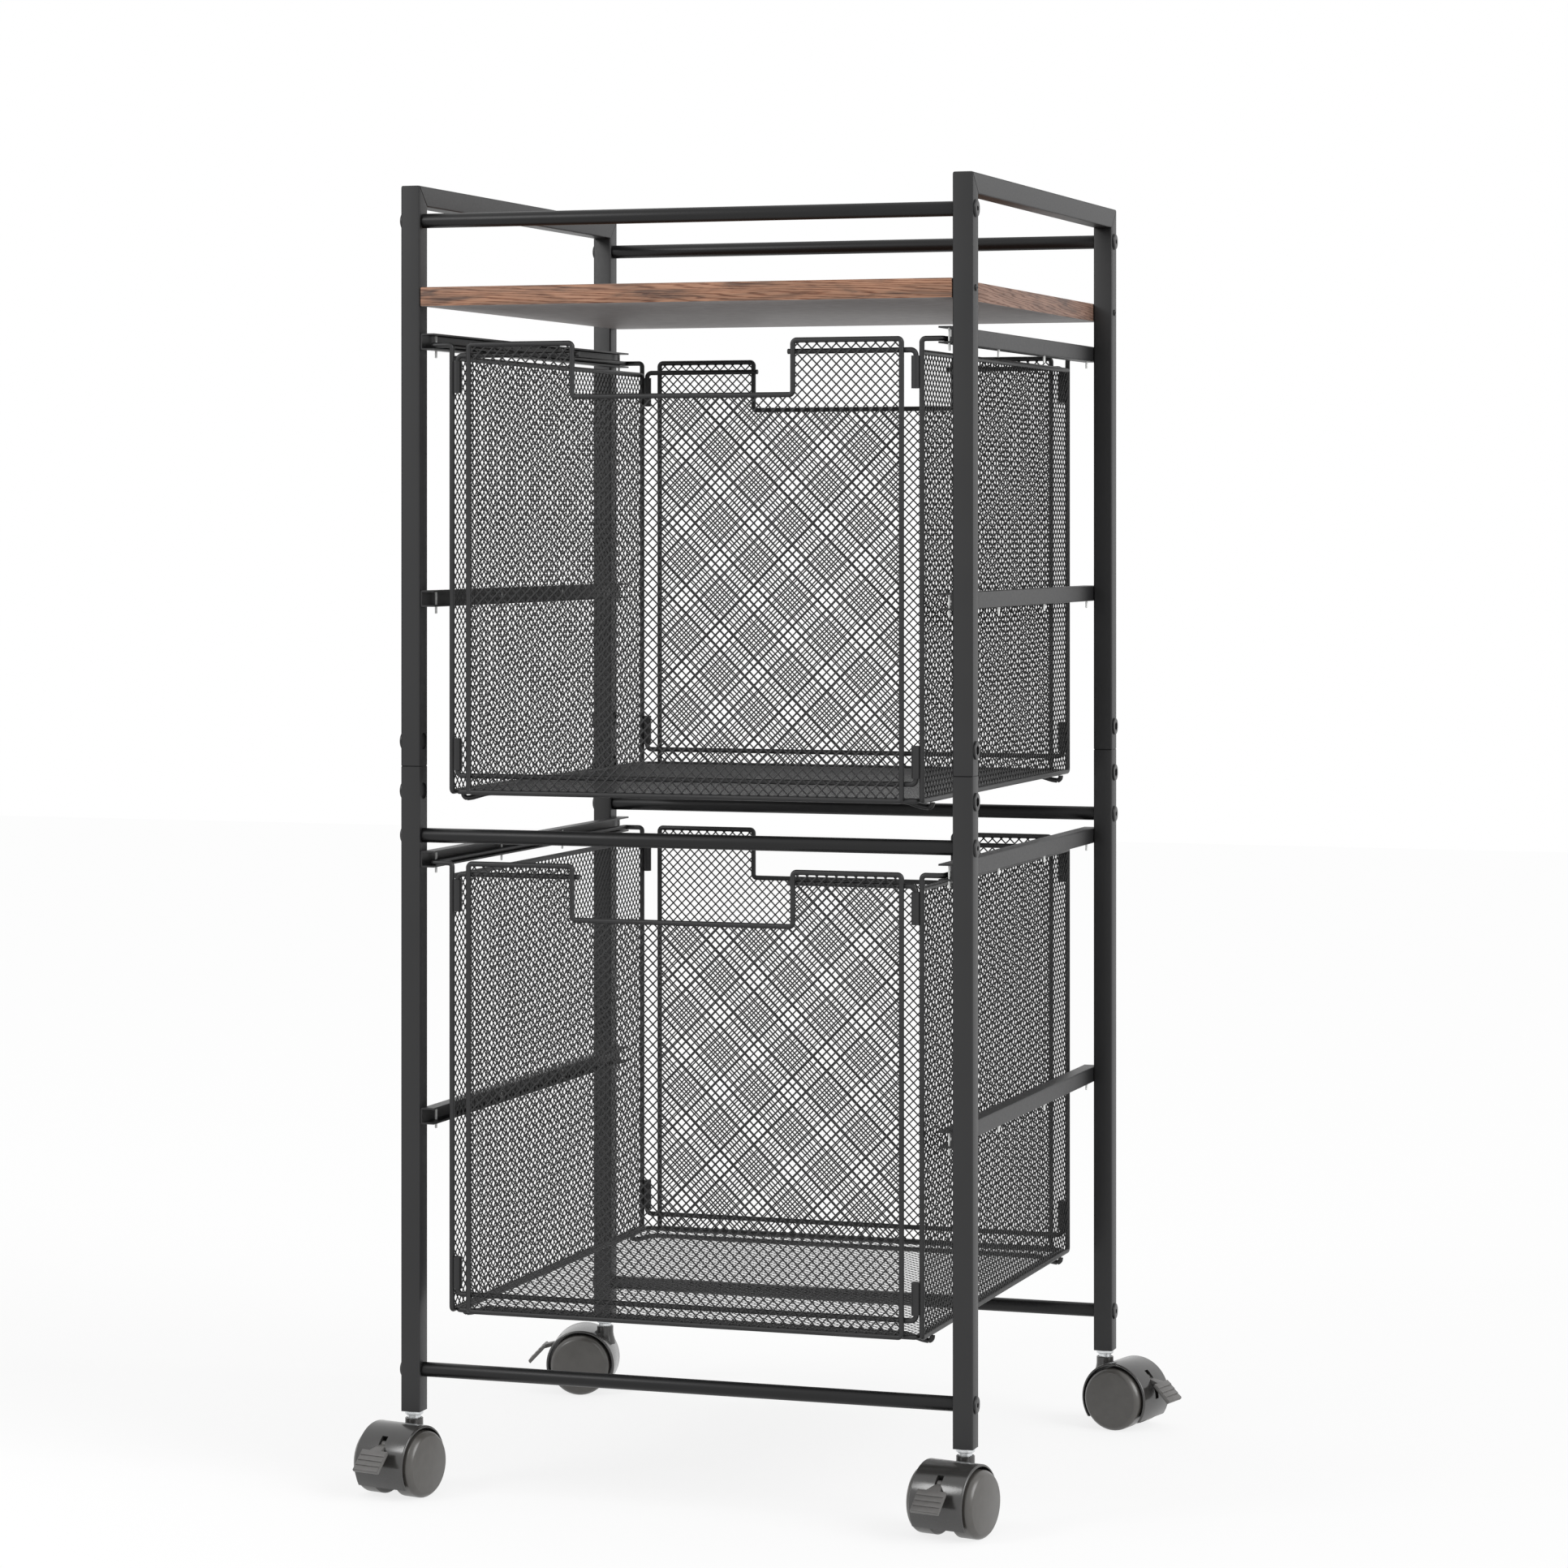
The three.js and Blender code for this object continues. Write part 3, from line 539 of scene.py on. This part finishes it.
def addNet(low, high, thick, notch=None):  # in the XZ plane, leaning right in front and left behind
    width, height = high[0] - low[0], high[1] - low[1]
    count = int((width + height) / net["pitch"]) + 2
    middle = [(a + b) / 2 for a, b in zip(low, high)]
    layers = []
    for lean in (1, -1):
        clearPick()
        bpy.ops.mesh.primitive_cylinder_add(
            vertices=6, radius=net["strand"] / 2 * mm, depth=(width + height) * mm,
            rotation=(0, lean * math.pi / 4, 0))
        layer = settle(bpy.context.object)
        layer.scale.y = thick / net["strand"]
        settle(layer)
        repeat(layer, count, (net["pitch"], 0, 0))
        start = middle[0] - (count - 1) * net["pitch"] / 2
        layer.location = Vector((start, -lean * net["apart"] * thick, middle[1])) * mm
        settle(layer)
        cutFlat(layer, (low[0], 0, 0), (-1, 0, 0))
        cutFlat(layer, (high[0], 0, 0), (1, 0, 0))
        cutFlat(layer, (0, 0, low[1]), (0, 0, -1))
        cutFlat(layer, (0, 0, high[1]), (0, 0, 1))
        if notch:
            wide, sill, clear = *notch, net["clear"]
            carve(layer, addBlock((-wide, -clear, sill), (wide, clear, high[1] + clear)))
        layers.append(layer)
    return joinUp(*layers)


sleeve = {"x": 163.7, "radius": 3.1, "wall": 1, "length": 21.7, "clear": 3.8, "sunk": 3}
hook = {"upper": 298.2, "lower": 11, "bend": 3.5, "reach": 25, "overrun": 4.3}
handle = {"half": 154.5, "notch": 78.8, "sill": 269.3}

top, y = drawer["top"], -drawer["sideY"]
wide, notch, sill = handle.values()
edge = [(wide, 0), (wide, top), (notch, top), (notch, sill)]
outline = [(-x, z) for x, z in edge] + list(reversed(edge))
parts = [bendWire([(x, -drawer["panelY"], z) for x, z in outline], drawer["wire"], drawer["bend"], True)]
for side in (-1, 1):
    parts.append(bendWire([
        (side * (notch - hook["overrun"]), y, hook["upper"]),
        (side * sleeve["x"], y, hook["upper"]),
        (side * sleeve["x"], y, hook["upper"] - hook["reach"]),
    ], drawer["wire"], hook["bend"]))
parts.append(bendWire([
    (-sleeve["x"], y, hook["lower"] + hook["reach"]), (-sleeve["x"], y, hook["lower"]),
    (sleeve["x"], y, hook["lower"]), (sleeve["x"], y, hook["lower"] + hook["reach"]),
], drawer["wire"], hook["bend"]))
lattice = addNet((-wide, 0), (wide, top), net["round"], (notch, sill))
lattice.location.y = -drawer["panelY"] * mm
front = joinUp(*parts, settle(lattice))
print("drawer front:", len(front.data.polygons), "faces")

x, runner, y, rim = -drawer["sideX"], -drawer["runnerX"], drawer["sideY"], drawer["sideMeshTop"]
parts = [bendWire([
    (x, -y, 0), (x, -y, top), (runner, -y, top), (runner, y, top), (x, y, top), (x, y, 0),
], drawer["wire"], drawer["bend"], True)]
parts.append(bendWire([(x, -y, rim), (x, 0, rim), (x, y, rim)], drawer["wire"], drawer["bend"]))
for end in (-1, 1):
    for z in (hook["lower"] + sleeve["clear"], hook["upper"] - sleeve["clear"] - sleeve["length"]):
        spot = (-sleeve["x"], end * y)
        socket = addRound(sleeve["radius"], spot + (z,), spot + (z + sleeve["length"],), sides=28)
        hollowEnds(socket, lambda centre, normal: abs(normal.z) > 0.9, sleeve["wall"], sleeve["sunk"])
        parts.append(socket)
lattice = addNet((-y, 0), (y, rim), net["round"])
lattice.rotation_euler.z = -math.pi / 2
lattice.location.x = x * mm
flank = joinUp(*parts, settle(lattice))
print("drawer side:", len(flank.data.polygons), "faces")

base = {"x": 163.9, "y": 185.8, "crossY": 164.9, "level": -1.8, "dip": (150.3, 163.5), "under": -5.6,
        "tip": (168.5, -2.0), "bend": 3}
x, y = base["x"], base["y"]
parts = [bendWire([(-x, -y, 0), (x, -y, 0), (x, y, 0), (-x, y, 0)], drawer["wire"], drawer["bend"], True)]
for y in (-base["crossY"], base["crossY"]):
    leg = [(base["dip"][0], base["level"]), (base["dip"][1], base["under"]),
           (base["tip"][0], base["under"]), base["tip"]]
    line = [(-x, y, z) for x, z in reversed(leg)] + [(x, y, z) for x, z in leg]
    parts.append(bendWire(line, drawer["wire"], base["bend"]))
lattice = addNet((-base["x"], -base["y"]), (base["x"], base["y"]), net["flat"])
lattice.rotation_euler.x = -math.pi / 2
bottom = joinUp(*parts, settle(lattice))
print("drawer bottom:", len(bottom.data.polygons), "faces")

panels = [
    ("front", front, 0), ("back", front, 180), ("left", flank, 0), ("right", flank, 180),
    ("bottom", bottom, 0),
]
for name, floor in drawer["floors"].items():
    for label, source, turn in panels:
        part = copyOf(source, turn, (0, 0, floor))
        node = name + "_drawer_" + label
        dress(part, "wire_" + label + "_" + name, name + "_drawer", powderCoat, [node])
remove(front, flank, bottom)
print("drawers done")


# casters, made once round the stem's axis with the brake towards -Y

headings = {"front_left": -11.9, "front_right": -11.9, "rear_left": -76, "rear_right": 76.7}
axle = {"y": -17, "z": 22.5, "radius": 3, "reach": 18.9, "round": 0.5}

hood = {
    "radius": 26, "half": 19.6, "round": 1.1, "bottom": 8, "pocket": 24.5, "web": 7.6,
    "slot": (4.8, 13, 22.5, 42.4),  # width, distance in front of the axle, lower and upper ends
    "bore": 4.4, "boreFloor": 28, "cup": 5.1, "cupFloor": 48.2,
    "beyond": {"top": 52, "side": 30, "front": -60},  # where the cutters end, clear of the hood
    "neck": [(0, 36), (8, 36), (7.4, 39.4), (6.6, 42), (6.2, 44.6), (6.2, 49.3), (5.9, 49.6), (0, 49.6)],
}
y, z = axle["y"], axle["z"]
beyond = hood["beyond"]
shell = addRound(hood["radius"], (-hood["half"], y, z), (hood["half"], y, z), sides=96)
roundEdges(shell, lambda a, b: abs(a.x - b.x) < 0.01, hood["round"], segments=5)
cutFlat(shell, (0, 0, hood["bottom"]), (0, 0, -1))
for side in (-1, 1):
    start, end = side * hood["web"], side * beyond["side"]
    carve(shell, addRound(hood["pocket"], (start, y, z), (end, y, z), sides=96))
carve(shell, spinUp([(out, 0, up) for out, up in hood["neck"]], (0, 0, 0), (0, 0, 1), steps=48), "UNION")
for hole, level in (("bore", hood["boreFloor"]), ("cup", hood["cupFloor"])):
    carve(shell, addRound(hood[hole], (0, 0, level), (0, 0, beyond["top"]), sides=40))
width, ahead, low, high = hood["slot"]
carve(shell, addBlock((-width / 2, beyond["front"], low), (width / 2, y - ahead, high)))
shaft = addRound(axle["radius"], (-axle["reach"], y, z), (axle["reach"], y, z), sides=32)
roundEdges(shaft, lambda a, b: abs(a.x - b.x) < 0.01, axle["round"], segments=2)
shell = joinUp(shell, shaft)

rollerProfile = [  # out from the axle, and along it
    (0, 24.55), (19.3, 24.55), (19.75, 24.4), (20.5, 23.9), (21.4, 22.9), (22.1, 21.8), (22.45, 20.7),
    (22.5, 20), (22.5, 9), (21.6, 8), (3.4, 8), (3.4, 19.4), (0, 19.4),
]
roller = spinUp([(along, y + out, z) for out, along in rollerProfile], (0, y, z), (1, 0, 0), steps=72)

brake = {
    "pivot": (17, 14), "edge": (29.5, 10.8),  # hinge, and heel of the pad: ahead of the axle and above it
    "hub": 2.7, "width": 4, "arm": 2.8, "flare": 2.5, "round": 0.4,
    "slope": 46.5, "long": 17, "wide": 21, "thick": 2, "heel": 1.5, "corner": 0.6, "rim": 0.3,
    "bands": 4, "tilt": 7, "bandThick": 0.9, "inset": 0.5, "bandRound": 0.2,
}
pivot = Vector((0, axle["y"] - brake["pivot"][0], axle["z"] + brake["pivot"][1]))
edge = Vector((0, axle["y"] - brake["edge"][0], axle["z"] + brake["edge"][1]))
across = Vector((brake["width"] / 2, 0, 0))
hub = addRound(brake["hub"], pivot - across, pivot + across, sides=32)
roundEdges(hub, lambda a, b: abs(a.x - b.x) < 0.01, brake["round"], segments=2)
run = edge - pivot
arm = addBlock((-across.x, -run.length, -brake["arm"] / 2), (across.x, 0, brake["arm"] / 2))
pickFaces(arm, lambda centre, normal: normal.y < -0.9)  # wider where it meets the pedal
bpy.ops.transform.resize(value=(brake["flare"], 1, 1), center_override=(0, 0, 0))
bpy.ops.object.mode_set(mode="OBJECT")
roundEdges(arm, lambda a, b: True, brake["round"], segments=2)
arm.rotation_euler.x = math.atan2(-run.z, -run.y)
arm.location = pivot * mm
settle(arm)
wide, tall = brake["wide"] / 2, brake["thick"] / 2
pad = addBlock((-wide, brake["heel"] - brake["long"], -tall), (wide, brake["heel"], tall))
roundEdges(pad, lambda a, b: abs(a.z - b.z) > tall, brake["corner"])
roundEdges(pad, lambda a, b: abs(a.z - b.z) < 0.1, brake["rim"], segments=2)
inset = brake["inset"]
pitch = (brake["long"] - 2 * inset) / brake["bands"]
band = addBlock((-wide + inset, -pitch / 2, -brake["bandThick"]), (wide - inset, pitch / 2, 0))
roundEdges(band, lambda a, b: True, brake["bandRound"], segments=2)
band.rotation_euler.x = -math.radians(brake["tilt"])
band.location = Vector((0, brake["heel"] - inset - pitch / 2, tall + brake["bandThick"] / 2)) * mm
settle(band)
repeat(band, brake["bands"], (0, -pitch, 0))
pad = joinUp(pad, band)
pad.rotation_euler.x = math.radians(brake["slope"])
pad.location = edge * mm
settle(pad)
pedal = joinUp(hub, arm, pad)

stemProfile = [  # out from the stem's axis, and up
    (0, 28), (3.4, 28), (3.9, 28.6), (3.9, 48.9), (4.7, 49.4), (4.7, 52), (5.9, 52), (6.3, 52.4),
    (6.3, 54.2), (6, 54.5), (3.9, 54.5), (3.9, 71.9), (3.4, 72.5), (0, 72.5),
]
stem = spinUp([(out, 0, up) for out, up in stemProfile], (0, 0, 0), (0, 0, 1), steps=40)

facing = copyOf(roller, 180, (0, 2 * axle["y"], 0))
sets = [
    ("hood", "caster", shell, hoodNylon, "hood_plastic"),
    ("brake", "brake", pedal, pedalNylon, "hood_plastic"),
    ("wheel_a", "wheel_a", roller, wheelNylon, "wheel_plastic"),
    ("wheel_b", "wheel_b", facing, wheelNylon, "wheel_plastic"),
]
for name, heading in headings.items():
    side, end = posts[name]
    spot = (side * tube["x"], end * tube["y"], 0)
    for label, body, source, finish, slot in sets:
        part = copyOf(source, heading, spot)
        node = "caster_" + label + "_" + name
        dress(part, "roll_" + label + "_" + name, body + "_" + name, finish, [node])
    part = copyOf(stem, 0, spot)
    dress(part, "roll_stem_" + name, "frame", zincPlate, ["caster_stem_" + name])
remove(shell, pedal, roller, facing, stem)

for name in posts:  # inside the posts, kept as they are
    for node in ("post_joint_" + name, "post_plug_" + name):
        carried = bpy.data.objects[node]
        carried.data.materials.clear()
        carried.data.materials.append(plugNylon)
print("casters done")


# floor, light and camera

studio = {
    "floor": 12, "floorGlow": 0.8, "sky": 0.65,
    "keyTurn": (58, 0, 76), "keyEnergy": 1.7, "keySpread": 40,
    "fillPlace": (-1.25, -1.5, 1.6), "fillAim": (0, 0, 0.3), "fillSize": 0.7, "fillEnergy": 11,
}


def seenDirectly(tree):  # 1 for the camera and in reflections, 0 for the light on the object
    rays = addNode(tree, "ShaderNodeLightPath")
    seen = addNode(tree, "ShaderNodeMath", {"operation": "MAXIMUM"},
                   {0: rays.outputs["Is Camera Ray"], 1: rays.outputs["Is Glossy Ray"]})
    seen = addNode(tree, "ShaderNodeMath", {"operation": "MAXIMUM"},
                   {0: seen.outputs[0], 1: rays.outputs["Is Transmission Ray"]})
    return seen.outputs[0]


clearPick()
bpy.ops.mesh.primitive_plane_add(size=studio["floor"])
floor = bpy.context.object
floor.name = "floor"
floorPaint, tree = startFinish("paleFloor")  # white to the camera, under the shadows
share = addNode(tree, "ShaderNodeMath", {"operation": "MULTIPLY", 1: studio["floorGlow"]},
                {0: seenDirectly(tree)})
matt = addNode(tree, "ShaderNodeBsdfDiffuse", {"Color": toLinear("#fbfbfb")})
white = addNode(tree, "ShaderNodeEmission", {"Color": toLinear("#ffffff"), "Strength": 1})
shader = addNode(tree, "ShaderNodeMixShader",
                 links={0: share.outputs[0], 1: matt.outputs[0], 2: white.outputs[0]})
addNode(tree, "ShaderNodeOutputMaterial", links={"Surface": shader.outputs[0]})
floor.data.materials.append(floorPaint)

world = bpy.data.worlds.new("studio")
bpy.context.scene.world = world
world.use_nodes = True
tree = world.node_tree
tree.nodes.clear()
level = addNode(tree, "ShaderNodeMapRange", {"To Min": studio["sky"], "To Max": 1},
                {"Value": seenDirectly(tree)})
sky = addNode(tree, "ShaderNodeBackground", {"Color": toLinear("#ffffff")}, {"Strength": level.outputs[0]})
addNode(tree, "ShaderNodeOutputWorld", links={"Surface": sky.outputs[0]})

bpy.ops.object.light_add(type="SUN", rotation=[math.radians(turn) for turn in studio["keyTurn"]])
key = bpy.context.object
key.name = "softKey"
key.data.energy = studio["keyEnergy"]
key.data.angle = math.radians(studio["keySpread"])
bpy.ops.object.light_add(type="AREA", location=studio["fillPlace"])
fill = bpy.context.object
fill.name = "softFill"
fill.data.size = studio["fillSize"]
fill.data.energy = studio["fillEnergy"]
fill.rotation_euler = (Vector(studio["fillAim"]) - fill.location).to_track_quat("-Z", "Y").to_euler()

view = {"place": (1.0146, -3.0023, 0.6639), "turn": 18.516, "lens": 102.16, "shift": -0.1666}
bpy.ops.object.camera_add(location=view["place"])
camera = bpy.context.object
camera.rotation_euler = (math.pi / 2, 0, math.radians(view["turn"]))
camera.data.sensor_width = 36
camera.data.lens = view["lens"]
camera.data.shift_y = view["shift"]
camera.data.clip_end = 50
bpy.context.scene.camera = camera
bpy.context.scene.view_settings.view_transform = "Standard"
print("stage done")
